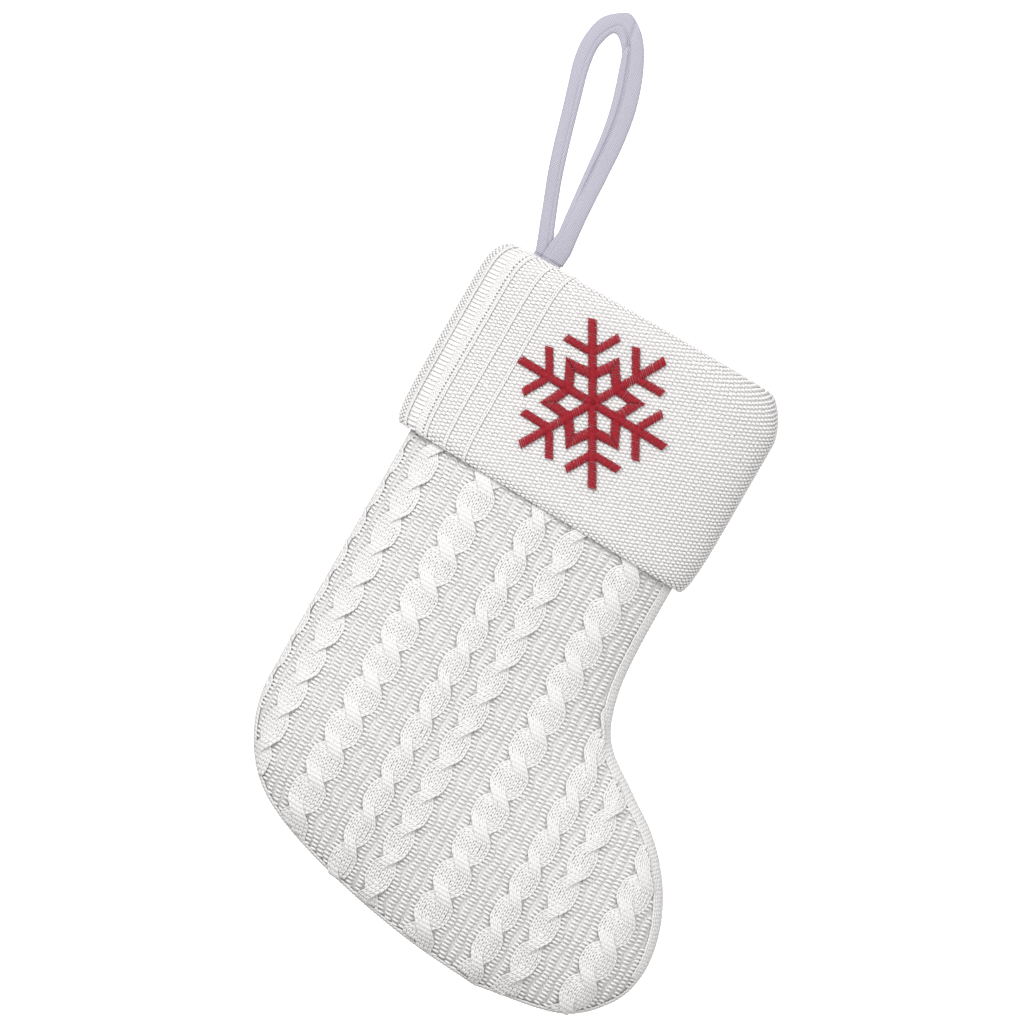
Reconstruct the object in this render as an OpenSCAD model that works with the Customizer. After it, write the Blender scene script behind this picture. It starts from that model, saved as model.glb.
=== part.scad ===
// Small knitted Christmas stocking, hanging from its loop of tape.
// Frame: the origin is the inner top of the loop, where a hook bears. +Z is up, +X is the toe's side
// and the embroidered side faces -Y. The stocking hangs tilted, so its shape is drawn upright first:
// there x runs across the leg from its middle line, z is 0 at the mouth and negative down the leg.

/* [Hanging] */
// Tilt of the leg from the vertical, in degrees, toe side forward
tilt = 30; // [0:1:40]
// Mouth's middle, to the right of the hook point
mouth_x = 11.7; // [0:0.1:30]
// Mouth's middle, below the hook point
mouth_drop = 98.5; // [95:0.1:110]

/* [Leg and foot] */
// Depth of the leg and foot, front to back, at the middle
body_depth = 28; // [24:0.5:29]
// How far in from the edges the panels curve before they are flat
body_round = 48; // [40:1:60]
// Thickness of the cable knit
body_wall = 2.2; // [1.5:0.1:2.5]
// Where the leg is sewn to the cuff, below the mouth
join_drop = 12; // [10:0.5:16]

/* [Cuff] */
// Reach of the turned-down cuff on the heel side
cuff_left = 58.6; // [58:0.1:60]
// Reach of the cuff on the toe side
cuff_right = 56.6; // [56:0.1:60]
// Depth of the cuff, front to back
cuff_depth = 35.6; // [35.2:0.1:40]
// How far the cuff hangs down over the leg
cuff_drop = 70.5; // [60:0.5:75]
// How much lower the hem is on the toe side
hem_slope = 1.3; // [0:0.1:3]
// Thickness of the rib knit
cuff_wall = 2.2; // [1.8:0.1:2.4]
// Squareness of the sections across the leg: 2 is an ellipse
fullness = 2.3; // [2:0.1:2.6]

/* [Embroidery] */
// Snowflake's middle, across the leg
flake_x = -3; // [-8:0.5:6]
// Snowflake's middle, below the mouth
flake_drop = 31.5; // [30:0.5:36]
// Length of an arm from the middle
flake_reach = 28.3; // [24:0.1:29]
// Width of a column of satin stitch
stitch_w = 3; // [2:0.1:4]
// How proud the thread stands
stitch_h = 1; // [0.5:0.1:1.2]

/* [Loop] */
// Thickness of the folded tape
tape_t = 2.4; // [1.5:0.1:2.6]
// Tape's middle plane behind the stocking's middle plane
tape_y = 3.5; // [3:0.1:3.6]
// Swing axis, across from the middle of the leg
neck_x = -40.5; // [-41:0.5:-39]
// Swing axis, above the mouth
neck_z = 9; // [8.5:0.5:10]

/* [Hidden] */
seam_gap = 0.2;      // between the two panels, and between the cuff's halves
columns = 22;        // facets across a panel or half a cuff
rows = 34;           // facets down a panel
steps = 6;           // facets between two landmarks of an outline
white_knit = [0.93, 0.92, 0.91];
white_tape = [0.87, 0.86, 0.91];
white_thread = [0.96, 0.96, 0.95];
crimson = [0.72, 0.09, 0.16];

// Landmarks of the outline, from the cuff's seam to the lowest point of the sole
HEEL_SIDE = [[-51, -12], [-51, -70], [-51, -120], [-51, -155], [-50, -172], [-44, -186.5],
             [-33.5, -198], [-17, -206], [8, -213], [34, -217.5], [60, -219.5]];
TOE_SIDE = [[51, -12], [51, -60], [51.5, -97], [54, -115], [60, -127.5], [73.5, -137.5], [87, -147],
            [98, -159.5], [105, -174], [107, -189], [102.5, -202], [89, -213.5], [60, -219.5]];
sole_z = -219.5;

// Outer and inner edge of the loop, from the neck up the left side, over the fold and down the right
LOOP_OUT = [[-48.5, 12.5], [-51, 19], [-54.7, 28], [-58.2, 37.5], [-61.4, 47.5], [-64.4, 57], [-66.9, 65.5],
            [-67.7, 73.5], [-66, 81.5], [-61.3, 86.3], [-57, 87.6], [-50.2, 82.6], [-44.5, 73], [-40.3, 61],
            [-38.1, 48.5], [-36.8, 35.5], [-35.7, 23], [-34.6, 12.5]];
LOOP_IN = [[-42.9, 12.5], [-45.6, 19], [-49.3, 28], [-52.7, 37.5], [-55.8, 47], [-58.6, 56.5], [-60.9, 65],
           [-61.7, 73], [-59.4, 79.5], [-54.6, 76], [-51.8, 69], [-48.6, 59], [-46.2, 48], [-44.4, 35],
           [-42.7, 23], [-41.4, 12.5]];
neck_r = 6.2;        // the round end of the neck, about the swing axis
neck_play = 0.4;     // from the neck to the legs of the loop
tip_z = 1.5;         // tip axis, above the mouth
tail_len = 11.4;     // tape sewn inside the mouth

// Catmull-Rom curve through the points p, n steps between each two of them
function spline(p, n) =
    let (m = len(p), q = concat([2 * p[0] - p[1]], p, [2 * p[m - 1] - p[m - 2]]))
    concat([for (i = [0 : m - 2], k = [0 : n - 1]) blend(q[i], q[i + 1], q[i + 2], q[i + 3], k / n)],
           [p[m - 1]]);
function blend(a, b, c, d, t) =
    0.5 * (2 * b + (c - a) * t + (2 * a - 5 * b + 4 * c - d) * t * t + (3 * b - a - 3 * c + d) * t * t * t);

// The line moved sideways by d, to the left of its own direction
function beside(p, d) =
    let (m = len(p) - 1)
    [for (i = [0 : m]) let (a = p[min(i + 1, m)] - p[max(i - 1, 0)]) p[i] + d * [-a[1], a[0]] / norm(a)];

heel_line = spline(HEEL_SIDE, steps);
toe_line = spline(TOE_SIDE, steps);
outline = concat(heel_line, [for (i = [len(toe_line) - 2 : -1 : 0]) toe_line[i]]);

// How far a point is from the segment a-b, and from the whole outline
function to_segment(p, a, b) =
    let (ab = b - a, t = min(1, max(0, ((p - a) * ab) / (ab * ab)))) norm(p - a - t * ab);
function to_edge(p) = min([for (i = [0 : len(outline) - 2]) to_segment(p, outline[i], outline[i + 1])]);

// Where a line, given from the top down, crosses the height z
function across(line, z) = lookup(-z, [for (p = line) [-p[1], p[0]]]);
// How far a panel stands out from the seam's plane, at a distance d from its edge
function puff(d, depth, round) = depth * sqrt(1 - pow(1 - min(max(d, 0), round) / round, 2));

// One surface of a panel as rows of points: inset is how far inside the outline the surface ends
function panel_rows(inset) =
    let (a = beside(heel_line, inset), b = beside(toe_line, -inset), bottom = sole_z + inset)
    [for (i = [0 : rows])
        let (u = i / rows,
             z = -join_drop - seam_gap + (bottom + join_drop + 0.3) * (0.35 * u + 0.65 * sin(90 * u)),
             x0 = across(a, z), x1 = across(b, z))
        [for (j = [0 : columns])
            let (x = x0 + (x1 - x0) * (1 - cos(180 * j / columns)) / 2,
                 rim = i == rows || j == 0 || j == columns,
                 d = rim ? 0 : to_edge([x, z]) - inset)
            [x, -puff(d, body_depth / 2 - inset, body_round - inset), z]]];

// Closed shell between two grids of points with the same rows and columns
module shell(outer, inner) {
    n = len(outer);
    m = len(outer[0]);
    points = [for (g = [outer, inner], row = g, p = row) p];
    function at(s, i, j) = s * n * m + i * m + j;
    faces = concat(
        [for (i = [0 : n - 2], j = [0 : m - 2], f = [[at(0, i, j), at(0, i + 1, j), at(0, i + 1, j + 1)],
                                                     [at(0, i, j), at(0, i + 1, j + 1), at(0, i, j + 1)],
                                                     [at(1, i, j), at(1, i + 1, j + 1), at(1, i + 1, j)],
                                                     [at(1, i, j), at(1, i, j + 1), at(1, i + 1, j + 1)]]) f],
        [for (i = [0 : n - 2], f = [[at(0, i, 0), at(1, i, 0), at(1, i + 1, 0)],
                                    [at(0, i, 0), at(1, i + 1, 0), at(0, i + 1, 0)],
                                    [at(0, i, m - 1), at(1, i + 1, m - 1), at(1, i, m - 1)],
                                    [at(0, i, m - 1), at(0, i + 1, m - 1), at(1, i + 1, m - 1)]]) f],
        [for (j = [0 : m - 2], f = [[at(0, 0, j), at(1, 0, j + 1), at(1, 0, j)],
                                    [at(0, 0, j), at(0, 0, j + 1), at(1, 0, j + 1)],
                                    [at(0, n - 1, j), at(1, n - 1, j), at(1, n - 1, j + 1)],
                                    [at(0, n - 1, j), at(1, n - 1, j + 1), at(0, n - 1, j + 1)]]) f]);
    polyhedron(points, faces, convexity = 6);
}

// Everything drawn upright goes through here into the hanging pose
module hung() {
    translate([mouth_x, -tape_y, -mouth_drop]) rotate([0, tilt, 0]) children();
}
// A flat outline in x and z, as a plate from y0 back to y1
module plate(y0, y1) {
    translate([0, y1, 0]) rotate([90, 0, 0]) linear_extrude(y1 - y0) children();
}

module front_panel() {
    translate([0, -seam_gap / 2, 0]) shell(panel_rows(0), panel_rows(body_wall));
}

module body_front_panel() {
    color(white_knit) hung() front_panel();
}

module body_back_panel() {
    color(white_knit) hung() mirror([0, 1, 0]) front_panel();
}

// Overlocked allowance of the panels' seam, turned inside
module body_seam() {
    near = body_wall + 0.7;
    far = near + 3;
    ring = concat(beside(heel_line, near),
                  [for (i = [len(toe_line) - 2 : -1 : 0]) beside(toe_line, -near)[i]],
                  beside(toe_line, -far),
                  [for (i = [len(heel_line) - 2 : -1 : 0]) beside(heel_line, far)[i]]);
    color(white_thread) hung() plate(-0.8, 0.8) polygon([for (p = ring) [p[0], min(p[1], -join_drop - 1)]]);
}

// Point of a section across the leg at the angle a, 0 at the toe side and 90 at the front
function section(left, right, depth, a) =
    let (c = cos(a), s = sin(a))
    [(c < 0 ? -left : right) * pow(abs(c), 2 / fullness), -depth * pow(abs(s), 2 / fullness)];
function half_section(left, right, depth) =
    [for (j = [0 : columns]) section(left, right, depth, 180 * j / columns)];

// The cuff's section, from the hem up the outside, over the fold and down to the join: [inset from
// the outside at the sides, inset at the front, height]. The way back is its inner side.
side_in = 7.6;
front_in = cuff_depth / 2 - body_depth / 2;
OUTSIDE = [[1.2, 0.8, -cuff_drop], [0, 0, -cuff_drop + 3], [0, 0, -12], [0.5, 0, -7.5], [1.7, 0.2, -4],
           [3.4, 1.2, -1.5], [5.4, 2.6, -0.3], [7.2, 4, -0.3], [8.8, 5.2, -1.6], [side_in + 2.1, front_in + 2, -4],
           [side_in + 2.1, front_in + 2, -join_drop]];
INSIDE = [[side_in, front_in, -join_drop], [side_in, front_in, -5], [6, 3.2, -2.6], [4.4, 2.6, -2.8],
          [cuff_wall + 1, cuff_wall, -6], [cuff_wall, cuff_wall, -12],
          [cuff_wall, cuff_wall, -cuff_drop + 3], [cuff_wall + 0.4, cuff_wall - 0.2, -cuff_drop]];

function cuff_rows(profile) =
    [for (r = profile)
        [for (p = half_section(cuff_left - r[0], cuff_right - r[0], cuff_depth / 2 - r[1]))
            [p[0], p[1], r[2] - (r[2] < -20 ? hem_slope * p[0] / cuff_right : 0)]]];

module half_cuff() {
    grid = concat(cuff_rows(OUTSIDE), cuff_rows(INSIDE));
    n = len(grid);
    m = columns + 1;
    points = [for (row = grid, p = row) p];
    faces = concat(
        [for (i = [0 : n - 1], j = [0 : m - 2], f = [[0, 1, 2], [0, 2, 3]])
            let (k = (i + 1) % n, q = [i * m + j, k * m + j, k * m + j + 1, i * m + j + 1])
            [q[f[0]], q[f[1]], q[f[2]]]],
        [[for (i = [n - 1 : -1 : 0]) i * m]],
        [[for (i = [0 : n - 1]) i * m + m - 1]]);
    translate([0, -seam_gap / 2, 0]) polyhedron(points, faces, convexity = 6);
}

module cuff_front() {
    color(white_knit) hung() half_cuff();
}

module cuff_back() {
    color(white_knit) hung() mirror([0, 1, 0]) half_cuff();
}

// Allowances of the cuff's two seams, turned to its inner side
module cuff_side_seams() {
    color(white_thread) hung() {
        for (s = [-1, 1]) {
            reach = s < 0 ? cuff_left : cuff_right;
            translate([s < 0 ? -reach + cuff_wall + 0.7 : reach - cuff_wall - 3, -0.8, -cuff_drop + 4])
                cube([2.3, 1.6, cuff_drop - 18]);
        }
    }
}

// Stitching that joins the cuff to the leg, on the side that the cuff hides
module cuff_join_seam() {
    color(white_thread) hung() translate([0, 0, -join_drop - 1.5]) linear_extrude(3)
        difference() {
            polygon(whole_section(0.95));
            polygon(whole_section(0.3));
        }
}
function whole_section(out) =
    [for (j = [0 : 2 * columns - 1])
        let (a = 180 * j / columns, p = section(51.1 + out, 51.1 + out, body_depth / 2 + out, a))
        [p[0], a > 180 ? -p[1] : p[1]]];

// Upright slab that follows the cuff's front, between the distances near and far outside its face
module front_slab(near, far) {
    a = half_section(cuff_left + near, cuff_right + near, cuff_depth / 2 + near);
    b = half_section(cuff_left + far, cuff_right + far, cuff_depth / 2 + far);
    translate([0, -seam_gap / 2, -cuff_drop]) linear_extrude(cuff_drop)
        polygon(concat(a, [for (j = [columns : -1 : 0]) b[j]]));
}

// Straight column of stitches with round ends
module column_of_stitches(from, to, w) {
    d = to - from;
    translate(from) rotate(atan2(d[1], d[0])) translate([0, -w / 2]) square([norm(d), w]);
    for (p = [from, to]) translate(p) circle(d = w, $fn = 24);
}

function polar(r, a) = r * [cos(a), sin(a)];

module flake_outline() {
    star_r = 17.3;
    waist_r = 12.4;
    twig_r = 16.8;
    twig_len = 10;
    for (a = [0 : 60 : 300]) {
        column_of_stitches([0, 0], polar(flake_reach - stitch_w / 2, a), stitch_w);
        for (s = [-60, 60])
            column_of_stitches(polar(twig_r, a), polar(twig_r, a) + polar(twig_len, a + s), stitch_w * 0.9);
    }
    difference() {
        polygon([for (k = [0 : 11]) polar(k % 2 == 0 ? waist_r : star_r, 30 * k)]);
        for (a = [30 : 60 : 330])
            rotate(a) translate([8.6, 0]) polygon([[-4.2, 0], [0, -1.9], [4.2, 0], [0, 1.9]]);
    }
}

module snowflake() {
    color(crimson) hung() intersection() {
        translate([flake_x, 0, -flake_drop]) plate(-cuff_depth, 0) flake_outline();
        front_slab(0.05, 0.05 + stitch_h);
    }
}

// Stabiliser behind the embroidery, between the cuff and the leg
module embroidery_backing() {
    color(white_thread) hung() intersection() {
        translate([flake_x, 0, -flake_drop]) plate(-cuff_depth, 0) difference() {
            circle(r = flake_reach + 1.5, $fn = 48);
            translate([-50, flake_drop - 7]) square([100, 50]);
        }
        front_slab(-cuff_wall - 0.5, -cuff_wall - 0.2);
    }
}

module tape_plate() {
    plate(tape_y - tape_t / 2, tape_y + tape_t / 2) children();
}

module hanging_loop() {
    inner = spline(LOOP_IN, steps);
    color(white_tape) hung() tape_plate() difference() {
        polygon(concat(spline(LOOP_OUT, steps), [for (i = [len(inner) - 1 : -1 : 0]) inner[i]]));
        translate([neck_x, neck_z]) circle(r = neck_r + neck_play, $fn = 64);
    }
}

// Both legs of the tape laid together, just above the mouth, with a rounded foot on the tip axis
module loop_neck() {
    w = 11.4;
    color(white_tape) hung() {
        tape_plate() {
            translate([neck_x, neck_z]) circle(r = neck_r, $fn = 64);
            translate([neck_x - w / 2, tip_z]) square([w, neck_z - tip_z]);
        }
        translate([neck_x - w / 2, tape_y, tip_z]) rotate([0, 90, 0]) cylinder(r = tape_t / 2, h = w, $fn = 32);
    }
}

// The tape's two ends, sewn inside the mouth
module loop_tails() {
    top = tip_z - tape_t / 2 - neck_play;
    for (s = [0, 1])
        color(white_tape) hung() tape_plate()
            translate([neck_x - 5.6 + s * 5.8, top - tail_len + s]) square([5.4, tail_len - s]);
}

// Bar-tacks that hold the tails to the cuff's lip
module loop_bartack() {
    for (z = [-4, -9])
        color(white_thread) hung()
            translate([neck_x - 1.5, tape_y + tape_t / 2, z]) cube([6, 1.5, 1.6]);
}

hanging_loop();
loop_neck();
loop_tails();
loop_bartack();
body_front_panel();
body_back_panel();
body_seam();
cuff_front();
cuff_back();
cuff_side_seams();
cuff_join_seam();
snowflake();
embroidery_backing();
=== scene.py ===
"""A small cable-knit Christmas stocking, hanging from its tape loop.

The knit is built stitch by stitch: every stitch is one or two short pieces of yarn laid on the fabric's
surface. A fabric surface is a function of (u, v), millimetres across and down the cloth. The stocking is
drawn upright, x across the leg and z up from the mouth, and hung() turns it into the frame's pose.
"""

import bpy
import numpy as np
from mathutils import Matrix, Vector


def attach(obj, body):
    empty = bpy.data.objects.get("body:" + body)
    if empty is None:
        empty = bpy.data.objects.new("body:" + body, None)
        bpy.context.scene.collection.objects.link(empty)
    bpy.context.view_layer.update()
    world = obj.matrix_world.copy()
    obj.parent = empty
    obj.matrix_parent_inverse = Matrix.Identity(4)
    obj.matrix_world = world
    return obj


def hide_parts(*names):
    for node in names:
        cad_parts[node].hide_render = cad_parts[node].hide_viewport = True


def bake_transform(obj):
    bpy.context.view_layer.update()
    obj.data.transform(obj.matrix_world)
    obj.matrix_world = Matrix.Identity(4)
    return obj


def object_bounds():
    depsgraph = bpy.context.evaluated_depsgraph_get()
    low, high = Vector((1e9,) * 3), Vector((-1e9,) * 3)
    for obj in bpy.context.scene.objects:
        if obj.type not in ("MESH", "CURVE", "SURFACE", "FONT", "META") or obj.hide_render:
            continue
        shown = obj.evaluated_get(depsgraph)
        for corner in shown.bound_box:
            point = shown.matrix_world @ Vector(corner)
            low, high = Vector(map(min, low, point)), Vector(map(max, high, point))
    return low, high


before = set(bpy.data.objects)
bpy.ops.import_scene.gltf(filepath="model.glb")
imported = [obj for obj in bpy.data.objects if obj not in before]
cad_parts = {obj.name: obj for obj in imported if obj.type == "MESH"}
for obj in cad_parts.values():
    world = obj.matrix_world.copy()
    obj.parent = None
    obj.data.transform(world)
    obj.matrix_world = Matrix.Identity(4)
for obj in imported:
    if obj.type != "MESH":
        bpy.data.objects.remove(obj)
CAD_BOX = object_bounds()
MM = 0.001
RNG = np.random.default_rng(7)

# ---------------------------------------------------------------- the stocking's shape, in millimetres
TILT = np.radians(30)
TAPE_Y = 3.5
MOUTH = np.array([11.7, -TAPE_Y, -98.5])
BODY_DEPTH, BODY_ROUND = 28.0, 48.0
JOIN_DROP = 12.0
CUFF_LEFT, CUFF_RIGHT, CUFF_DEPTH, CUFF_DROP = 58.6, 56.6, 35.6, 70.5
FULLNESS = 2.3
HEM_SLOPE = 1.3
HEEL_SIDE = [(-51, -12), (-51, -70), (-51, -120), (-51, -155), (-50, -172), (-44, -186.5),
             (-33.5, -198), (-17, -206), (8, -213), (34, -217.5), (60, -219.5)]
TOE_SIDE = [(51, -12), (51, -60), (51.5, -97), (54, -115), (60, -127.5), (73.5, -137.5), (87, -147),
            (98, -159.5), (105, -174), (107, -189), (102.5, -202), (89, -213.5), (60, -219.5)]
LOOP_OUT = [(-48.5, 12.5), (-51, 19), (-54.7, 28), (-58.2, 37.5), (-61.4, 47.5), (-64.4, 57), (-66.9, 65.5),
            (-67.7, 73.5), (-66, 81.5), (-61.3, 86.3), (-57, 87.6), (-50.2, 82.6), (-44.5, 73),
            (-40.3, 61), (-38.1, 48.5), (-36.8, 35.5), (-35.7, 23), (-34.6, 12.5)]
LOOP_IN = [(-42.9, 12.5), (-45.6, 19), (-49.3, 28), (-52.7, 37.5), (-55.8, 47), (-58.6, 56.5), (-60.9, 65),
           (-61.7, 73), (-59.4, 79.5), (-54.6, 76), (-51.8, 69), (-48.6, 59), (-46.2, 48), (-44.4, 35),
           (-42.7, 23), (-41.4, 12.5)]
FLAKE_X, FLAKE_DROP, FLAKE_REACH, STITCH_W = -3.0, 32.0, 28.0, 3.0

# the knit's gauge: a wale is a column of stitches, a course is a row
WALE, COURSE = 1.5, 1.38
CABLE_COURSES = 9
CUFF_WALE, CUFF_COURSE = 1.6, 1.3
SEAM_CLOTH, INSTEP_CLOTH = 2.1, 5.4  # width of the plain stitches that follow the seam, on each panel
INSTEP_END = 190  # how far down the toe side the wider band runs
YARN = 0.5  # how far the stitches stand out of the cloth
JITTER = 0.045  # how unevenly the stitches lie


def hung(p):
    """Upright millimetres to metres in the frame's hanging pose."""
    c, s = np.cos(TILT), np.sin(TILT)
    x, y, z = p[..., 0], p[..., 1], p[..., 2]
    return (np.stack([c * x + s * z, y, c * z - s * x], -1) + MOUTH) * MM


def spline(points, steps):
    """Catmull-Rom curve through the points."""
    p = np.array(points, float)
    q = np.vstack([2 * p[0] - p[1], p, 2 * p[-1] - p[-2]])
    t = np.arange(steps)[:, None] / steps
    runs = [0.5 * (2 * b + (c - a) * t + (2 * a - 5 * b + 4 * c - d) * t**2 + (3 * b - a - 3 * c + d) * t**3)
            for a, b, c, d in zip(q, q[1:], q[2:], q[3:])]
    return np.vstack(runs + [p[-1:]])


def smooth(t):
    """An even step from 0 to 1 as t goes from 0 to 1."""
    t = np.clip(t, 0, 1)
    return t * t * (3 - 2 * t)


# ---------------------------------------------------------------- fabric surfaces
HEEL_LINE, TOE_LINE = spline(HEEL_SIDE, 8), spline(TOE_SIDE, 8)
OUTLINE = np.vstack([HEEL_LINE, TOE_LINE[-2::-1]])
heading = np.gradient(OUTLINE, axis=0)
inward = np.stack([-heading[:, 1], heading[:, 0]], -1)
OUTLINE += YARN * inward / np.linalg.norm(heading, axis=1, keepdims=True)
HEEL_LINE, TOE_LINE = OUTLINE[:len(HEEL_LINE)], OUTLINE[:len(HEEL_LINE) - 2:-1]


def edge_distance(x, z):
    """How far points inside the outline are from it."""
    p = np.stack([x, z], -1).reshape(-1, 1, 2)
    a, ab = OUTLINE[:-1], np.diff(OUTLINE, axis=0)
    out = []
    for part in np.array_split(p, max(1, len(p) // 20000)):
        t = np.clip(((part - a) * ab).sum(-1) / (ab * ab).sum(-1), 0, 1)
        out.append(np.linalg.norm(part - a - t[..., None] * ab, axis=-1).min(1))
    return np.concatenate(out).reshape(x.shape)


def puff(d):
    """How far the panel stands out from the seam's plane at a distance d from its edge."""
    return BODY_DEPTH / 2 * np.sqrt(np.clip(1 - (1 - np.clip(d, 0, BODY_ROUND) / BODY_ROUND) ** 2, 0, 1))


EDGE_D = np.linspace(0, BODY_ROUND, 400) ** 2 / BODY_ROUND
EDGE_ARC = np.concatenate([[0], np.cumsum(np.hypot(np.diff(EDGE_D), np.diff(puff(EDGE_D))))])
EDGE_EXTRA = EDGE_ARC[-1] - BODY_ROUND  # cloth taken up by the rounding at an edge


def from_edge(a):
    """Distance from the edge at a length a of cloth from it."""
    return np.where(a < EDGE_ARC[-1], np.interp(a, EDGE_ARC, EDGE_D), a - EDGE_EXTRA)


SEAM_D, INSTEP_D = (float(from_edge(np.array(cloth))) for cloth in (SEAM_CLOTH, INSTEP_CLOTH))
OUTLINE_ARC = np.concatenate([[0], np.cumsum(np.linalg.norm(np.diff(OUTLINE, axis=0), axis=1))])


def body_surface(u, v):
    """Front panel: u across, v down the cloth from the mouth. Also says which points are on the cloth."""
    left = np.interp(v, -HEEL_LINE[:, 1], HEEL_LINE[:, 0])
    right = np.interp(v, -TOE_LINE[:, 1], TOE_LINE[:, 0])
    on = (u > left - EDGE_EXTRA) & (u < right + EDGE_EXTRA) & (v < -OUTLINE[:, 1].min())
    x = np.where(u < (left + right) / 2, left + from_edge(u - left + EDGE_EXTRA),
                 right - from_edge(right + EDGE_EXTRA - u))
    x = np.clip(x, left, right)
    d = edge_distance(x, -v)
    plain = np.where((u > (left + right) / 2) & (v < INSTEP_END), INSTEP_D, SEAM_D)
    return np.stack([x, -puff(d), -v], -1), on & (d > plain)


def outline_at(v):
    """The point of the outline at a length v along it."""
    return np.stack([np.interp(v, OUTLINE_ARC, OUTLINE[:, k]) for k in (0, 1)], -1)


def edge_surface(u, v):
    """The front panel beside the seam: u in from the seam, v along it from the cuff round to the cuff."""
    way = outline_at(v + 2) - outline_at(v - 2)
    inward = np.stack([-way[..., 1], way[..., 0]], -1) / np.hypot(way[..., 0], way[..., 1])[..., None]
    d = from_edge(np.maximum(u, 0))
    at = outline_at(v) + inward * d[..., None]
    return np.stack([at[..., 0], -puff(d), at[..., 1]], -1), (v > 0) & (v < OUTLINE_ARC[-1])


# from the hem up the outside, over the rim and down inside: how far in at the sides and at the front, and z
CUFF_PROFILE = np.array([
    (4.4, 3.0, -CUFF_DROP + 2.4), (3.2, 1.9, -CUFF_DROP + 0.5), (2.0, 0.6, -CUFF_DROP + 1),
    (1.1, 0, -CUFF_DROP + 3.5), (0.5, 0, -CUFF_DROP + 8), (0.1, 0, -CUFF_DROP + 16),
    (0, 0, -40), (0, 0, -24), (0, 0, -15), (0.1, 0, -10), (0.5, 0.1, -6), (1.6, 0.5, -2.6),
    (3.3, 1.4, -0.2), (5.2, 2.6, 0.9), (7, 4, 0.8), (8.5, 5.2, -0.8), (9.3, 5.7, -3.5),
    (9.7, 5.8, -7), (9.7, 5.8, -JOIN_DROP)])
PROFILE = spline(CUFF_PROFILE, 6)
PROFILE_V = np.concatenate([[0], np.cumsum(np.linalg.norm(np.diff(PROFILE[:, 1:], axis=0), axis=1))])
ANGLES = np.linspace(0, np.pi, 721)


def section(a, left, right, depth):
    """Front half of the cuff's cross-section, a rounded oblong, at angles a from its toe side."""
    c, s = np.cos(a), np.abs(np.sin(a))
    reach = np.where(c < 0, left, right)
    return np.sign(c) * reach * np.abs(c) ** (2 / FULLNESS), -depth * s ** (2 / FULLNESS)


RING = np.stack(section(ANGLES, CUFF_LEFT - YARN, CUFF_RIGHT - YARN, CUFF_DEPTH / 2), -1)
RING_ARC = np.concatenate([[0], np.cumsum(np.linalg.norm(np.diff(RING, axis=0), axis=1))])
CUFF_ROUND = RING_ARC[-1]
RING_MIDDLE = np.interp(np.pi / 2, ANGLES, RING_ARC)


def cuff_surface(u, v):
    """Front half of the cuff: u across from the middle, v from the hem up over the fold and down inside."""
    a = np.interp(RING_MIDDLE - u, RING_ARC, ANGLES)
    side, front, z = (np.interp(v, PROFILE_V, PROFILE[:, k]) for k in range(3))
    toe_corner = 3.6 * smooth((z + 14) / 15)
    x, y = section(a, CUFF_LEFT - side - YARN, CUFF_RIGHT - side - YARN - toe_corner, CUFF_DEPTH / 2 - front)
    z = z - HEM_SLOPE * x / CUFF_RIGHT * smooth(-(z + 12) / 20)
    on = (v > 0) & (v < PROFILE_V[-1]) & (np.abs(u) < CUFF_ROUND / 2)
    return np.stack([x, y, z], -1), on


OUTWARD = {body_surface: -1, edge_surface: -1, cuff_surface: 1}


def lifted(surface, u, v, lift):
    """Points at a height above a surface, the surface's normals there, and which are on it."""
    h = 0.25
    p, on = surface(u, v)
    pu, pv = surface(u + h, v)[0] - surface(u - h, v)[0], surface(u, v + h)[0] - surface(u, v - h)[0]
    n = np.cross(pu, pv) * OUTWARD[surface]
    n /= np.maximum(np.linalg.norm(n, axis=-1, keepdims=True), 1e-9)
    return p + n * lift[..., None], n, on


# ---------------------------------------------------------------- meshes
def new_mesh(name, points, quads, tris=()):
    """A smooth mesh object from metres in the frame, made in one go."""
    quads, tris = np.asarray(quads, np.int32).reshape(-1, 4), np.asarray(tris, np.int32).reshape(-1, 3)
    mesh = bpy.data.meshes.new(name)
    mesh.vertices.add(len(points))
    mesh.vertices.foreach_set("co", np.asarray(points, np.float32).ravel())
    mesh.loops.add(quads.size + tris.size)
    mesh.loops.foreach_set("vertex_index", np.concatenate([quads.ravel(), tris.ravel()]))
    mesh.polygons.add(len(quads) + len(tris))
    starts = np.concatenate([np.arange(len(quads)) * 4, quads.size + np.arange(len(tris)) * 3])
    mesh.polygons.foreach_set("loop_start", starts.astype(np.int32))
    mesh.polygons.foreach_set("use_smooth", np.ones(len(quads) + len(tris), bool))
    mesh.update(calc_edges=True)
    mesh.validate()
    o = bpy.data.objects.new(name, mesh)
    bpy.context.collection.objects.link(o)
    return o


SIDES = 4  # of a piece of yarn


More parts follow.
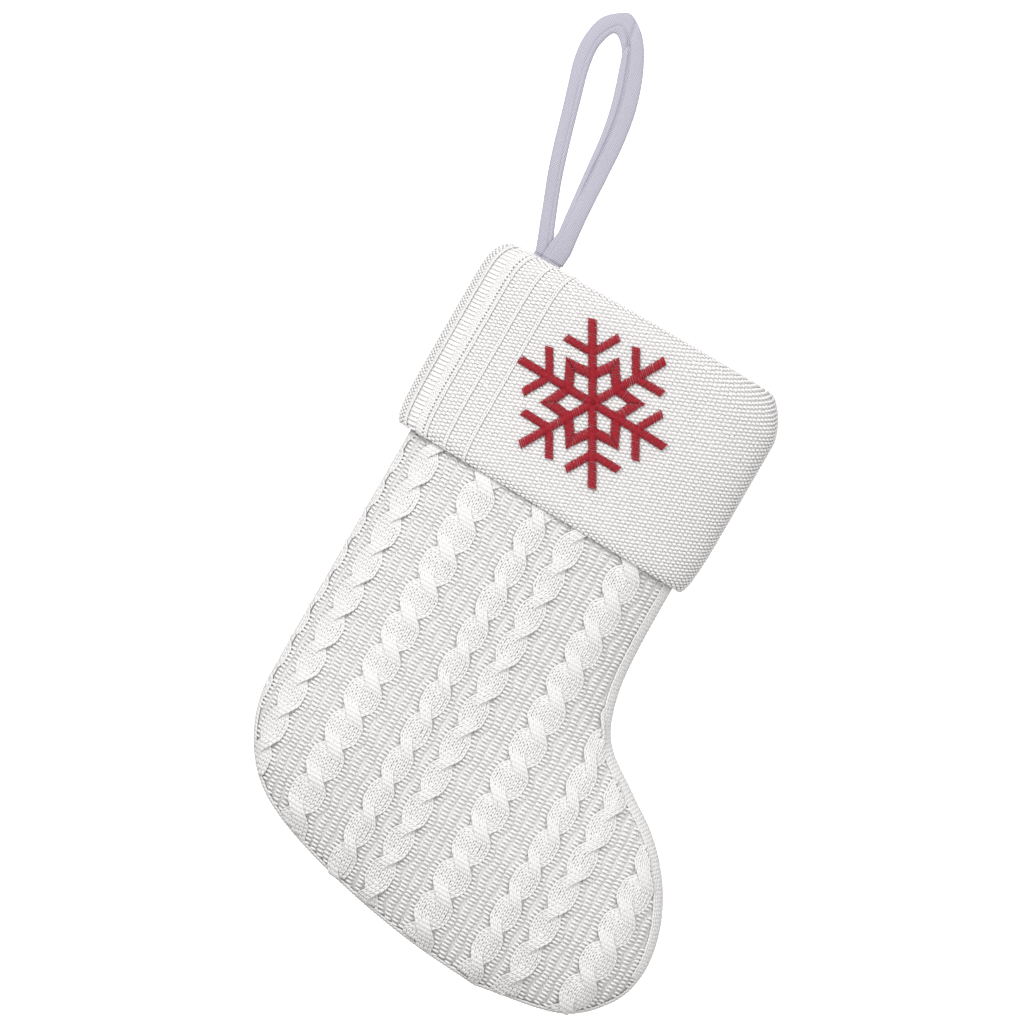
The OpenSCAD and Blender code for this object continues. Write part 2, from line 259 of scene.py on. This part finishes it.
def yarn_ends(name, middle, normal, width, height):
    """Short closed pieces of yarn. middle is (pieces, rings, 3) in upright millimetres; the first and last
    rings are points. Stores how far along and around each face corner is, which the ply's twist follows."""
    n, rings = middle.shape[:2]
    t = np.gradient(middle, axis=1)
    t /= np.maximum(np.linalg.norm(t, axis=-1, keepdims=True), 1e-9)
    b = np.cross(t, normal)
    b /= np.maximum(np.linalg.norm(b, axis=-1, keepdims=True), 1e-9)
    up = np.cross(b, t)
    a = 2 * np.pi * (np.arange(SIDES) + 0.5) / SIDES
    inner = middle[:, 1:-1, None] + (
        b[:, 1:-1, None] * (np.cos(a)[:, None] * width[:, 1:-1, None, None])
        + up[:, 1:-1, None] * (np.sin(a)[:, None] * height[:, 1:-1, None, None]))
    points = np.concatenate([middle[:, :1], inner.reshape(n, -1, 3), middle[:, -1:]], 1)
    count = points.shape[1]
    ring = np.arange(rings - 2)[:, None] * SIDES + 1
    k, k1 = np.arange(SIDES), (np.arange(SIDES) + 1) % SIDES
    quad = np.stack([ring[:-1] + k, ring[:-1] + k1, ring[1:] + k1, ring[1:] + k], -1).reshape(-1, 4)
    last = count - 1
    tri = np.concatenate([np.stack([k1 + 1, k + 1, 0 * k], -1),
                          np.stack([last - SIDES + k, last - SIDES + k1, 0 * k + last], -1)])
    base = np.arange(n)[:, None, None] * count
    o = new_mesh(name, hung(points.reshape(-1, 3)), base + quad, base + tri)
    along = np.concatenate([[0], np.repeat(np.arange(1, rings - 1) / (rings - 1), SIDES), [1]])
    around = np.concatenate([[0.5], np.tile(np.arange(SIDES) / SIDES, rings - 2), [0.5]])
    corner = np.concatenate([np.tile(quad.ravel(), n), np.tile(tri.ravel(), n)])
    piece = np.concatenate([np.repeat(np.arange(n), quad.size), np.repeat(np.arange(n), tri.size)])
    across = int(np.ceil(np.sqrt(n)))
    cell = np.stack([piece % across, piece // across], -1)
    place = np.stack([along[corner], around[corner]], -1)
    uv = (cell + 0.1 + 0.8 * place) / across
    shade = np.repeat(RNG.random(n), count)
    ply = np.stack([np.tile(along, n), np.tile(around, n), shade], -1)
    o.data.uv_layers.new(name="OFBake").data.foreach_set("uv", uv.astype(np.float32).ravel())
    data = o.data.attributes.new("ply", "FLOAT_VECTOR", "POINT").data
    data.foreach_set("vector", ply.astype(np.float32).ravel())
    return o


def tube_mesh(name, points):
    """A closed flat tube through rings of points, in upright millimetres, with its ends closed."""
    m, n = points.shape[:2]
    i, j = np.meshgrid(np.arange(m - 1), np.arange(n), indexing="ij")
    j1 = (j + 1) % n
    walls = np.stack([i * n + j, i * n + j1, (i + 1) * n + j1, (i + 1) * n + j], -1).reshape(-1, 4)
    k = np.arange(n // 2 - 1)
    cap = np.stack([k, n - 1 - k, n - 2 - k, k + 1], -1)
    quads = np.concatenate([walls, cap, cap[:, ::-1] + (m - 1) * n])
    return new_mesh(name, hung(points.reshape(-1, 3)), quads)


def mirrored(p):
    """Front to back, about the seam's plane."""
    return p * np.array([1, -1, 1])


# ---------------------------------------------------------------- stitches
TOP_V, BOTTOM_V = JOIN_DROP + 0.5, 219.0  # the stretch of each panel that is knitted
COURSES = int((BOTTOM_V - TOP_V) / COURSE)
PURL_THICK = 0.49


class Stitches:
    """Collects the yarn of a piece as lines of points over a surface: u, v, lift and half-thickness."""

    def __init__(self, surface, back=False):
        self.surface, self.back, self.rows = surface, back, []

    def add(self, u, v, lift, thick):
        shape = np.broadcast_shapes(u.shape, v.shape, np.shape(lift), np.shape(thick))
        self.rows.append([np.broadcast_to(a, shape) for a in (u, v, lift, thick)])

    def build(self, name, flatness=0.85):
        u, v, lift, thick = (np.concatenate([r[k] for r in self.rows]) for k in range(4))
        jitter = RNG.normal(0, JITTER, (2, len(u), 1))
        points, normal, on = lifted(self.surface, u + jitter[0], v + jitter[1], lift)
        keep = on.mean(1) > 0.6
        points, normal, thick = points[keep], normal[keep], thick[keep]
        if self.back:
            points, normal = mirrored(points), mirrored(normal)
        return yarn_ends(name, points, normal, thick, thick * flatness)


# A leg of a knit stitch, from its foot to its top: share of its length, share of a wale sideways, lift,
# and half-thickness as a share of the wale
LEG = np.array([(-0.3, 0.04, -0.3, 0.0), (0.1, 0.14, 0.05, 0.29), (0.6, 0.27, 0.2, 0.33),
                (1.1, 0.32, 0.05, 0.28), (1.45, 0.25, -0.3, 0.0)])


def knit_wale(yarn, path, first, last, wale=WALE, bulge=0.0):
    """A wale of V stitches along a path: path(course number) gives u, v and lift."""
    c = np.arange(first, last)[:, None]
    for side in (-1, 1):
        u, v, lift = path(c + LEG[:, 0])
        yarn.add(u + side * LEG[:, 1] * wale, v, lift + bulge + LEG[:, 2] * 0.9, LEG[:, 3] * wale)


def crossing(c, phase):
    """How near a course is to a cable's crossing, from 0 to 1."""
    return np.sin(np.pi * (((c - phase) / CABLE_COURSES) % 1)) ** 2


def purl_bars(yarn, u, width, shift, pull, phase):
    """Purl bumps, one above another: short bars that bow down at their ends. A cable beside them pulls
    them in where its strands cross."""
    t = np.array([-0.6, -0.32, 0.0, 0.32, 0.6])
    c = np.arange(COURSES)[:, None]
    sag = 0.26 * COURSE * (2 * np.abs(t)) ** 2
    wave = np.array([-0.6, 0.0, 0.25, 0.0, -0.6])
    size = np.array([0, 0.92, 1.0, 0.92, 0]) * PURL_THICK
    yarn.add(u + t * width + pull * crossing(c, phase), TOP_V + (c + shift) * COURSE + sag,
             wave + 0.2 + 0 * c, size + 0 * c)


def cable(yarn, middle, wales, direction, phase):
    """A rope cable: two strands change places every CABLE_COURSES, the left one over the right."""
    half = wales // 2
    swing = half * WALE / 2
    for over in (0, 1):
        for w in range(half):
            inside = (w - (half - 1) / 2) * WALE

            def path(c):
                turn = (c - phase) / CABLE_COURSES
                number = np.floor(turn)
                part = turn - number
                odd = (number.astype(int) + over) % 2
                start = np.where(odd == 0, -1.0, 1.0)
                x = swing * start * (1 - 2 * smooth((part - 0.14) / 0.72))
                lift = np.where(odd == 0, 0.75, -0.25) * crossing(c, phase)
                crown = 0.6 - 0.75 * ((x + inside) / (half * WALE)) ** 2
                return middle + direction * (x + inside), TOP_V + c * COURSE, lift + crown

            knit_wale(yarn, path, 0, COURSES, bulge=0.2)


# ---------------------------------------------------------------- materials
def material(name, base, rough, sheen=0.0):
    """A matt material, with its nodes, links and shader."""
    m = bpy.data.materials.new(name)
    m.use_nodes = True
    nodes, links = m.node_tree.nodes, m.node_tree.links
    shader = nodes["Principled BSDF"]
    shader.inputs["Roughness"].default_value = rough
    shader.inputs["Base Color"].default_value = (*base, 1)
    shader.inputs["Sheen Weight"].default_value = sheen
    shader.inputs["Sheen Roughness"].default_value = 0.5
    shader.inputs["Specular IOR Level"].default_value = 0.25
    return m, nodes, links, shader


def node(nodes, kind, **values):
    """A shader node, with the values of its inputs or its own settings."""
    n = nodes.new(kind)
    for key, value in values.items():
        if key in n.inputs:
            n.inputs[key].default_value = value
        else:
            setattr(n, key, value)
    return n


def colour_ramp(nodes, low, high, at=(0.0, 1.0)):
    r = nodes.new("ShaderNodeValToRGB")
    r.color_ramp.elements[0].color, r.color_ramp.elements[1].color = (*low, 1), (*high, 1)
    r.color_ramp.elements[0].position, r.color_ramp.elements[1].position = at
    return r


def yarn_material(name, dark, light, depth=0.35, sheen=0.35, rough=0.85):
    """Plied yarn: the twist runs round each piece of yarn, with a fuzz of fibres over it."""
    m, nodes, links, shader = material(name, light, rough, sheen)
    ply = node(nodes, "ShaderNodeAttribute", attribute_name="ply")
    place = node(nodes, "ShaderNodeTexCoord")
    wave = node(nodes, "ShaderNodeTexWave", bands_direction="DIAGONAL",
                **{"Scale": 26 / 6, "Distortion": 0.6})
    fuzz = node(nodes, "ShaderNodeTexNoise", **{"Scale": 2600.0, "Detail": 3.0, "Roughness": 0.6})
    broad = node(nodes, "ShaderNodeTexNoise", **{"Scale": 42.0, "Detail": 3.0})
    ramp = colour_ramp(nodes, dark, light, (0.2, 0.62))
    total = node(nodes, "ShaderNodeMath", operation="MULTIPLY_ADD")
    total.inputs[1].default_value = 0.45
    spread = node(nodes, "ShaderNodeMath", operation="MULTIPLY_ADD")
    spread.inputs[1].default_value = 0.35
    bump = node(nodes, "ShaderNodeBump", **{"Strength": depth, "Distance": 0.0003})
    links.new(ply.outputs["Vector"], wave.inputs["Vector"])
    for n in (fuzz, broad):
        links.new(place.outputs["Object"], n.inputs["Vector"])
    links.new(fuzz.outputs["Fac"], total.inputs[0])
    links.new(wave.outputs["Fac"], spread.inputs[0])
    links.new(broad.outputs["Fac"], spread.inputs[2])
    links.new(spread.outputs[0], total.inputs[2])
    links.new(total.outputs[0], bump.inputs["Height"])
    links.new(total.outputs[0], ramp.inputs["Fac"])
    links.new(ramp.outputs["Color"], shader.inputs["Base Color"])
    links.new(bump.outputs["Normal"], shader.inputs["Normal"])
    return m


def cloth_material(name, dark, light, scale, depth=0.5, sheen=0.2, rough=0.9):
    """Plain close cloth, woven or felted, in the frame's own directions."""
    m, nodes, links, shader = material(name, light, rough, sheen)
    place = node(nodes, "ShaderNodeTexCoord")
    turn = node(nodes, "ShaderNodeMapping")
    turn.inputs["Rotation"].default_value = (0, -TILT, 0)
    threads = {"Scale": scale, "Distortion": 1.2, "Detail": 2.0}
    weft = node(nodes, "ShaderNodeTexWave", bands_direction="X", **threads)
    warp = node(nodes, "ShaderNodeTexWave", bands_direction="Z", **threads)
    both = node(nodes, "ShaderNodeMath", operation="MULTIPLY")
    ramp = colour_ramp(nodes, dark, light, (0.0, 0.5))
    bump = node(nodes, "ShaderNodeBump", **{"Strength": depth, "Distance": 0.0003})
    links.new(place.outputs["Object"], turn.inputs["Vector"])
    for n in (weft, warp):
        links.new(turn.outputs["Vector"], n.inputs["Vector"])
    links.new(weft.outputs["Fac"], both.inputs[0])
    links.new(warp.outputs["Fac"], both.inputs[1])
    links.new(both.outputs[0], ramp.inputs["Fac"])
    links.new(both.outputs[0], bump.inputs["Height"])
    links.new(ramp.outputs["Color"], shader.inputs["Base Color"])
    links.new(bump.outputs["Normal"], shader.inputs["Normal"])
    return m


def dress(o, mat, body, slot, *nodes_replaced):
    """Gives a piece its material and body; the slot is not used. Cloth that runs between two bodies has none
    here.
    """
    o.data.materials.clear()
    o.data.materials.append(mat)
    if body:
        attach(o, body)
    if nodes_replaced:
        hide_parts(*nodes_replaced)
    return o


# One white yarn in three copies of different brightness. The darker cable yarn is painted shade on the raised
# cables, the seam edge and the cuff's ribs. The lighter purl and rib yarns are painted light on the sunken
# purl bars and the cuff's small stitches.
KNIT_SHADED = yarn_material("cable_yarn_painted_shade", (0.74, 0.725, 0.72), (0.91, 0.895, 0.885))
PURL_LIT = yarn_material("purl_yarn_painted_light", (0.76, 0.75, 0.745), (0.95, 0.94, 0.93))
RIB_LIT = yarn_material("rib_yarn_painted_light", (0.88, 0.865, 0.86), (0.99, 0.975, 0.97))
# The body lining's grey is painted shade: it stands for the dark seen through the gaps between the stitches.
SHADE_BEHIND_KNIT = cloth_material("knit_ground_painted_shade", (0.66, 0.65, 0.65), (0.84, 0.83, 0.825), 260.0)
CUFF_GROUND = cloth_material("rib_ground", (0.84, 0.825, 0.82), (0.97, 0.955, 0.95), 260.0)
RED = yarn_material("crimson_thread", (0.06, 0.001, 0.005), (0.41, 0.011, 0.025),
                    depth=0.45, sheen=0.05, rough=0.5)
WHITE = yarn_material("white_thread", (0.6, 0.6, 0.6), (0.86, 0.86, 0.85), depth=0.3)
FELT = cloth_material("stabiliser_felt", (0.75, 0.75, 0.75), (0.9, 0.9, 0.9), 500.0)
TAPE = cloth_material("satin_tape", (0.42, 0.405, 0.485), (0.68, 0.655, 0.755), 520.0,
                      depth=0.6, sheen=0.2, rough=0.5)

# ---------------------------------------------------------------- the leg and foot
WIDE, SMALL = 8, 6  # wales in a wide and in a narrow cable
FIRST_WIDE, PERIOD, SMALL_OFF = -20.3, 55.8, 21.2  # where the cables are across the cloth
PHASE = 3.4  # the course of the first crossing
# purl columns between a wide cable and a narrow one: distance from the wide one's middle, shift in courses,
# pull of the cable beside it, and whether that is the narrow one
PURL_COLUMNS = [(7.2, 0, -1.7, False), (9.9, 0.5, -0.6, False), (12.6, 0, 0.6, True), (15.3, 0.5, 1.6, True)]


def body_yarn(side, back):
    """The panel's wide cables, narrow cables and purl ground, and the stitches that follow its seam."""
    wide_yarn, small_yarn, ground = (Stitches(body_surface, back) for _ in range(3))
    for k in range(-1, 3):
        wide = FIRST_WIDE + k * PERIOD
        cable(wide_yarn, wide, WIDE, 1, PHASE)
        for direction in (-1, 1):
            small_phase = PHASE + 0.9 * direction
            cable(small_yarn, wide + direction * SMALL_OFF, SMALL, direction, small_phase)
            for off, shift, pull, by_small in PURL_COLUMNS:
                purl_bars(ground, wide + direction * off, 2.9, shift, direction * pull,
                          small_phase if by_small else PHASE)
        for direction in (-1, 1):
            purl_bars(ground, wide + PERIOD / 2 + direction * 1.3, 2.7, 0.25 + direction / 4, direction * 0.8,
                      PHASE - 0.9 * direction)
    edge = Stitches(edge_surface, back)
    toe = len(HEEL_LINE) - 1
    instep = np.interp(-INSTEP_END, OUTLINE[toe:, 1], OUTLINE_ARC[toe:])
    for u, start in ((0.62, 0), (2.1, 0), (3.6, instep), (5.1, instep)):
        knit_wale(edge, lambda c: (u + 0 * c, c * COURSE, 0.25 + 0 * c), int(start / COURSE),
                  int(OUTLINE_ARC[-1] / COURSE))
    return (wide_yarn.build(f"{side}_wide_cables"), small_yarn.build(f"{side}_narrow_cables"),
            ground.build(f"{side}_purl_ground"), edge.build(f"{side}_seam_edge"))


def body_lining(name, back):
    """The loops behind the stitches, seen through them as one soft layer; its grey is painted shade, the dark
    in the gaps between the stitches.
    """
    v = np.concatenate([np.linspace(TOP_V - 1, 190, 90), np.linspace(190.5, 219.4, 40)])
    share = (1 - np.cos(np.linspace(0, np.pi, 60))) / 2
    left = np.interp(v, -HEEL_LINE[:, 1], HEEL_LINE[:, 0])
    right = np.interp(v, -TOE_LINE[:, 1], TOE_LINE[:, 0])
    x = left[:, None] + (right - left)[:, None] * share
    z = -np.repeat(v[:, None], 60, 1)
    d = edge_distance(x, z)
    layers = [np.stack([x, -puff(np.maximum(d - inset, 0)) * (1 - inset / 20), z], -1)
              for inset in (0.3, 1.6)]
    sheet = np.concatenate([layers[0], layers[1][:, ::-1]], 1)
    if back:
        sheet = mirrored(sheet)
    return tube_mesh(name, sheet)


for side, back in (("front", False), ("back", True)):
    wide_cables, narrow_cables, ground, edge = body_yarn(side, back)
    dress(wide_cables, KNIT_SHADED, "stocking", "cable_knit", f"body_{side}_panel")
    dress(narrow_cables, KNIT_SHADED, "stocking", "cable_knit")
    dress(ground, PURL_LIT, "stocking", "cable_knit")
    dress(edge, KNIT_SHADED, "stocking", "cable_knit", "body_seam")
    lining = dress(body_lining(f"{side}_panel_lining", back), SHADE_BEHIND_KNIT, "stocking", "cable_knit")

# ---------------------------------------------------------------- the cuff
STRIP_IN, STRIP_HALF = 9.5, 3.4  # how far in from the heel side the strip of rungs is, and half its width
RIB_EVERY, RIBS_REACH = 5, 24  # wales between the low ribs, and how far from the strip they go


def cuff_yarn(side, back):
    """Fine knit with low ribs. By the heel side a strip of rungs runs between two lines of stitches."""
    dots, ribs = Stitches(cuff_surface, back), Stitches(cuff_surface, back)
    rows = int(PROFILE_V[-1] / CUFF_COURSE)
    t = np.array([-0.6, -0.34, 0.0, 0.34, 0.6])
    size = np.array([0, 0.95, 1.05, 0.95, 0])
    wales = int(CUFF_ROUND / CUFF_WALE / 2)
    strip = -CUFF_ROUND / 2 + STRIP_IN
    c = np.arange(rows)[:, None]

    def rib(u, lift):
        knit_wale(ribs, lambda k: (u + 0 * k, PROFILE_V[-1] - k * CUFF_COURSE * 0.8, lift + 0 * k), 0,
                  int(rows / 0.8), wale=1.3)

    for w in range(-wales, wales + 1):
        u = w * CUFF_WALE
        near_strip = abs(u - strip)
        if near_strip < STRIP_HALF:
            continue
        if w % RIB_EVERY == 0 and near_strip < RIBS_REACH:
            rib(u, 0.15)
            continue
        shift = 0.5 * (w % 2)
        dots.add(u + t * CUFF_WALE + 0 * c, (c + shift) * CUFF_COURSE - 0.25 * (2 * t) ** 2,
                 np.array([-0.35, 0.0, 0.1, 0.0, -0.35]) + 0 * c, size * 0.5 + 0 * c)
    for off in (-3.1, 3.1, 4.4):
        rib(strip + off, 0.15)
    dots.add(strip + t * 5.4 + 0 * c, c * CUFF_COURSE * 1.15 + 0.5 * t, 0.1 - 0.8 * np.abs(t) + 0 * c,
             size * 0.48 + 0 * c)
    for u in (-CUFF_ROUND / 2 + 0.4, CUFF_ROUND / 2 - 0.4):
        rib(u, 0.1)
    return dots.build(f"cuff_{side}_ground"), ribs.build(f"cuff_{side}_ribs")


def cuff_lining(name, back):
    """The loops behind the cuff's stitches, as one soft layer."""
    v = np.linspace(0, PROFILE_V[-1], 110)
    u = np.linspace(-CUFF_ROUND / 2, CUFF_ROUND / 2, 120)
    u, v = np.meshgrid(u, v)
    outer = lifted(cuff_surface, u, v, np.full(u.shape, -0.45))[0]
    inner = lifted(cuff_surface, u, v, np.full(u.shape, -1.6))[0]
    outer[:, (0, -1), 1] = inner[:, (0, -1), 1] = -0.05
    sheet = np.concatenate([outer, inner[:, ::-1]], 1)
    if back:
        sheet = mirrored(sheet)
    return tube_mesh(name, sheet)


for side, back in (("front", False), ("back", True)):
    dots, ribs = cuff_yarn(side, back)
    dress(dots, RIB_LIT, "stocking", "rib_knit", f"cuff_{side}")
    # The ribs take the darker cable yarn: painted shade that greys the cuff beside the strip of rungs.
    dress(ribs, KNIT_SHADED, "stocking", "rib_knit", "cuff_side_seams")
    lining = dress(cuff_lining(f"cuff_{side}_lining", back), CUFF_GROUND, "stocking", "rib_knit")

# ---------------------------------------------------------------- the snowflake
PETAL_W, MITRE = 3.5, 0.713  # width of a petal's sides, and the slope at which the two meet
PETAL_POINT = PETAL_W / 2 / MITRE / 8.0  # share of its length that a side goes on past the petal's middle


def satin(columns, pitch=0.34):
    """Threads across each column of satin stitch, laid over the cuff. A column is from, to, width, lift and
    how it ends: 0 is square, and -1 or 1 is the side of it on which it comes to a point."""
    yarn = Stitches(cuff_surface)
    t = np.array([-0.5, -0.46, -0.2, 0.2, 0.46, 0.5])
    for a, b, w, lift, pointed in columns:
        length = np.linalg.norm(b - a)
        along = (b - a) / length
        across = np.array([-along[1], along[0]])
        s = np.arange(0, length, pitch)[:, None]
        left = np.minimum(w, (length - s) * MITRE) if pointed else w
        q = pointed * w / 2 + (t - pointed / 2) * left
        slant = 0.25 * t * w * (not pointed)
        x = a[0] + (s + slant) * along[0] + q * across[0]
        z = a[1] + (s + slant) * along[1] + q * across[1]
        round_top = lift + 0.7 * np.sqrt(np.clip(1 - (2 * t) ** 2, 0, 1)) - (np.abs(t) > 0.49) * 0.4
        thick = np.array([0, 0.17, 0.21, 0.21, 0.17, 0])
        yarn.add(FLAKE_X + x, FLAKE_V + z, round_top + 0 * s, thick + 0 * s)
    return yarn


OUTSIDE_ROWS = slice(12, int(PROFILE[:, 2].argmax()))
FLAKE_V = float(np.interp(-FLAKE_DROP, PROFILE[OUTSIDE_ROWS, 2], PROFILE_V[OUTSIDE_ROWS]))


def polar(r, degrees):
    a = np.radians(degrees)
    return np.array([r * np.cos(a), r * np.sin(a)])


def flake_columns():
    """Arms over a ring of petals, and a pair of twigs near each arm's end."""
    out = []
    for a in range(0, 360, 60):
        out.append((polar(-0.8, a), polar(FLAKE_REACH, a), STITCH_W, 0.7, 0))
        for s in (-60, 60):
            foot = polar(16.6, a)
            out.append((foot + polar(1.2, a + s), foot + polar(10.2, a + s), STITCH_W * 0.95, 0.55, 0))
        for s, pointed in ((0, -1), (60, 1)):
            foot, tip = polar(9.3, a + s), polar(14.5, a + 30)
            out.append((foot, tip + (tip - foot) * PETAL_POINT, PETAL_W, 0.5, pointed))
    return out


flake = satin(flake_columns()).build("snowflake_stitches", flatness=0.9)
dress(flake, RED, "stocking", "embroidery_thread", "snowflake")

# ---------------------------------------------------------------- the tape loop
def resampled(line, n):
    """n points evenly along a line."""
    s = np.concatenate([[0], np.cumsum(np.linalg.norm(np.diff(line, axis=0), axis=1))])
    at = np.linspace(0, s[-1], n)
    return np.stack([np.interp(at, s, line[:, k]) for k in range(line.shape[1])], -1)


def tape(name, outer, inner, forward, groove, crease=None, thick=1.25):
    """Folded tape between two edges, given from one end to the other. forward is how far each place stands
    in front of the tape's middle plane, groove the depth of the fold that runs along it, and crease a place
    along it where it is folded over."""
    n = len(outer)
    share = np.linspace(0, 1, n)[:, None]
    around = np.linspace(0, 2 * np.pi, 96, endpoint=False)[None]
    side = 0.5 + 0.5 * np.cos(around)
    p = outer[:, None] * (1 - side)[..., None] + inner[:, None] * side[..., None]
    form = np.sign(np.sin(around)) * np.abs(np.sin(around)) ** 0.6
    wander = 0.68 + 0.05 * np.sin(9 * share)
    fold = np.exp(-((side - wander) / 0.05) ** 2) + 0.18 * smooth((side - wander) / 0.06)
    height = thick - groove[:, None] * fold
    if crease is not None:
        height = height - 0.75 * np.exp(-((share - crease - 0.03 * (side - 0.5)) / 0.006) ** 2)
    ripple = 0.12 * np.sin(37 * share + 3 * side) * np.sin(11 * share)
    y = TAPE_Y - forward[:, None] + form * (height + ripple)
    return tube_mesh(name, np.stack([p[..., 0], y, p[..., 1]], -1))


def leaned(line):
    """The loop's line as it hangs, a little over to the toe side at the top."""
    return line + smooth((line[:, 1:] - 15) / 40) * np.array([0.9, 0.3])


N_TAPE, N_FOOT = 220, 14  # points along the loop, and along each end of it below
outer, inner = (resampled(leaned(spline(line, 8)), N_TAPE) for line in (LOOP_OUT, LOOP_IN))
HALF_GAP = 1.15  # half the distance between the two ends' middles where they cross, front to back
round_loop = np.linspace(0, 1, N_TAPE)
forward = HALF_GAP * (smooth((round_loop - 0.83) / 0.14) - smooth((0.14 - round_loop) / 0.12))
groove = 0.25 + 0.95 * smooth((round_loop - 0.5) / 0.04) * (1 - smooth((round_loop - 0.86) / 0.08))
LEFT_FOOT, RIGHT_FOOT = [(-48.5, 12.5), (-46.7, 8), (-44.8, 3)], [(-41.4, 12.5), (-42.1, 8), (-42.2, 3)]
LEFT_INNER, RIGHT_OUTER = [(-42.9, 12.5), (-40.7, 8), (-38.8, 3)], [(-34.6, 12.5), (-34, 8), (-34.4, 3)]


def with_feet(line, first, last):
    """The loop's edge, carried on down past the swing axis at both ends."""
    start, end = resampled(np.array(first[::-1]), N_FOOT), resampled(np.array(last), N_FOOT)
    return np.vstack([start[:-1], line, end[1:]])


outer, inner = with_feet(outer, LEFT_FOOT, RIGHT_OUTER), with_feet(inner, LEFT_INNER, RIGHT_FOOT)
forward, groove = (np.pad(a, N_FOOT - 1, mode="edge") for a in (forward, groove))
loop = tape("tape_loop", outer, inner, forward, groove, crease=0.535)
dress(loop, TAPE, None, "satin_tape", "hanging_loop", "loop_neck")


def bend(o):
    """Bakes the placing of cloth in the neck of the loop into its mesh."""
    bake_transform(o)


bend(loop)

TAIL_Z = np.linspace(4.2, -11.3, 24)
for name, left, right, stands in (("left_tail", (-45.2, -44.8), (-39.2, -39), -HALF_GAP),
                                  ("right_tail", (-42.2, -41.8), (-34.8, -35.4), HALF_GAP)):
    edges = [np.stack([np.interp(TAIL_Z, (-11.3, 4.2), x[::-1]), TAIL_Z], -1) for x in (left, right)]
    tail = tape(name, *edges, np.full(24, stands), np.full(24, 0.2), thick=1.05)
    dress(tail, TAPE, None, "satin_tape", "loop_tails")
    bend(tail)


def thread_run(name, middle, half_width, up, replaced):
    """Slanted threads side by side over a line, middle. half_width points across the line, up out of it."""
    t = np.array([-1, -0.9, -0.45, 0.45, 0.9, 1])
    points = (middle[:, None] + half_width[:, None] * t[:, None]
              + up[:, None] * (0.9 * np.sqrt(np.clip(1 - t**2, 0, 1)))[:, None])
    step = np.gradient(middle, axis=0)[:, None] * 0.5 * t[:, None]
    normal = np.broadcast_to(up[:, None] / np.linalg.norm(up, axis=-1)[:, None, None], points.shape)
    thick = np.broadcast_to(np.array([0, 0.22, 0.26, 0.26, 0.22, 0]), points.shape[:2])
    o = yarn_ends(name, points + step, normal, thick, thick)
    return dress(o, WHITE, "stocking", "sewing_thread", replaced)


MOUTH_HALF = 51.1  # half the width of the leg's mouth, where the cuff is joined to it
turn = np.linspace(0, 2 * np.pi, 520, endpoint=False)
ring_x, ring_y = section(turn % np.pi, MOUTH_HALF, MOUTH_HALF, BODY_DEPTH / 2)
ring = np.stack([ring_x, ring_y, np.full(turn.shape, -JOIN_DROP)], -1)
ring[turn >= np.pi] *= np.array([-1, -1, 1])
out = np.stack([ring[:, 0], ring[:, 1], 0 * turn], -1)
out /= np.linalg.norm(out, axis=-1, keepdims=True)
thread_run("join_stitches", ring + out * 0.2, np.tile([0, 0, 1.4], (len(turn), 1)), out, "cuff_join_seam")

N_TACK = 16  # threads in each of the two bar-tacks
tack_z = np.repeat([-3.4, -8.4], N_TACK)
tack_x = -39.7 + np.tile(np.linspace(-2.6, 4.4, N_TACK), 2)
tack = np.stack([tack_x, np.full(2 * N_TACK, TAPE_Y + 1.1), tack_z], -1)
tack_half, tack_up = (np.tile(way, (2 * N_TACK, 1)) for way in ([0, 0, 0.8], [0, 1.3, 0]))
thread_run("tack_stitches", tack, tack_half, tack_up, "loop_bartack")

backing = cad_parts["embroidery_backing"]
backing.data.materials.clear()
backing.data.materials.append(FELT)

# ---------------------------------------------------------------- camera, light and backdrop
low, high = np.array(CAD_BOX[0]), np.array(CAD_BOX[1])
middle = (low + high) / 2
DISTANCE, SENSOR = 1.4, 36.0
view_height = (high[2] - low[2]) * 1.024
cam = bpy.data.cameras.new("camera")
cam.sensor_width, cam.lens = SENSOR, SENSOR * DISTANCE / view_height
camera = bpy.data.objects.new("camera", cam)
camera.location = (middle[0] - 0.0022, -DISTANCE, middle[2])
camera.rotation_euler = (np.pi / 2, 0, 0)
bpy.context.collection.objects.link(camera)
bpy.context.scene.camera = camera


def area_light(name, place, size, watts, aim):
    light = bpy.data.lights.new(name, "AREA")
    light.size, light.energy = size, watts
    o = bpy.data.objects.new(name, light)
    o.location = place
    o.rotation_euler = (Vector(aim) - Vector(place)).to_track_quat("-Z", "Y").to_euler()
    bpy.context.collection.objects.link(o)


aim = tuple(middle)
area_light("key", (-0.55, -1.3, 0.75), 0.8, 16, aim)
area_light("fill", (0.5, -1.5, 0.0), 1.2, 9, aim)

wall_mat, nodes, links, shader = material("backdrop_white", (0.95, 0.95, 0.95), 0.9)
shader.inputs["Emission Color"].default_value = (1, 1, 1, 1)
shader.inputs["Emission Strength"].default_value = 1.0
WALL_Y, WALL_HALF = 2.6, 1.1
corners = [(middle[0] + x, WALL_Y, middle[2] + z)
           for x in (-WALL_HALF, WALL_HALF) for z in (-WALL_HALF, WALL_HALF)]
wall = new_mesh("backdrop", np.array(corners), [[0, 2, 3, 1]])
wall.data.materials.append(wall_mat)

world = bpy.data.worlds.new("studio")
world.use_nodes = True
world.node_tree.nodes["Background"].inputs["Color"].default_value = (1, 1, 1, 1)
world.node_tree.nodes["Background"].inputs["Strength"].default_value = 0.45
bpy.context.scene.world = world
bpy.context.scene.view_settings.view_transform = "Standard"
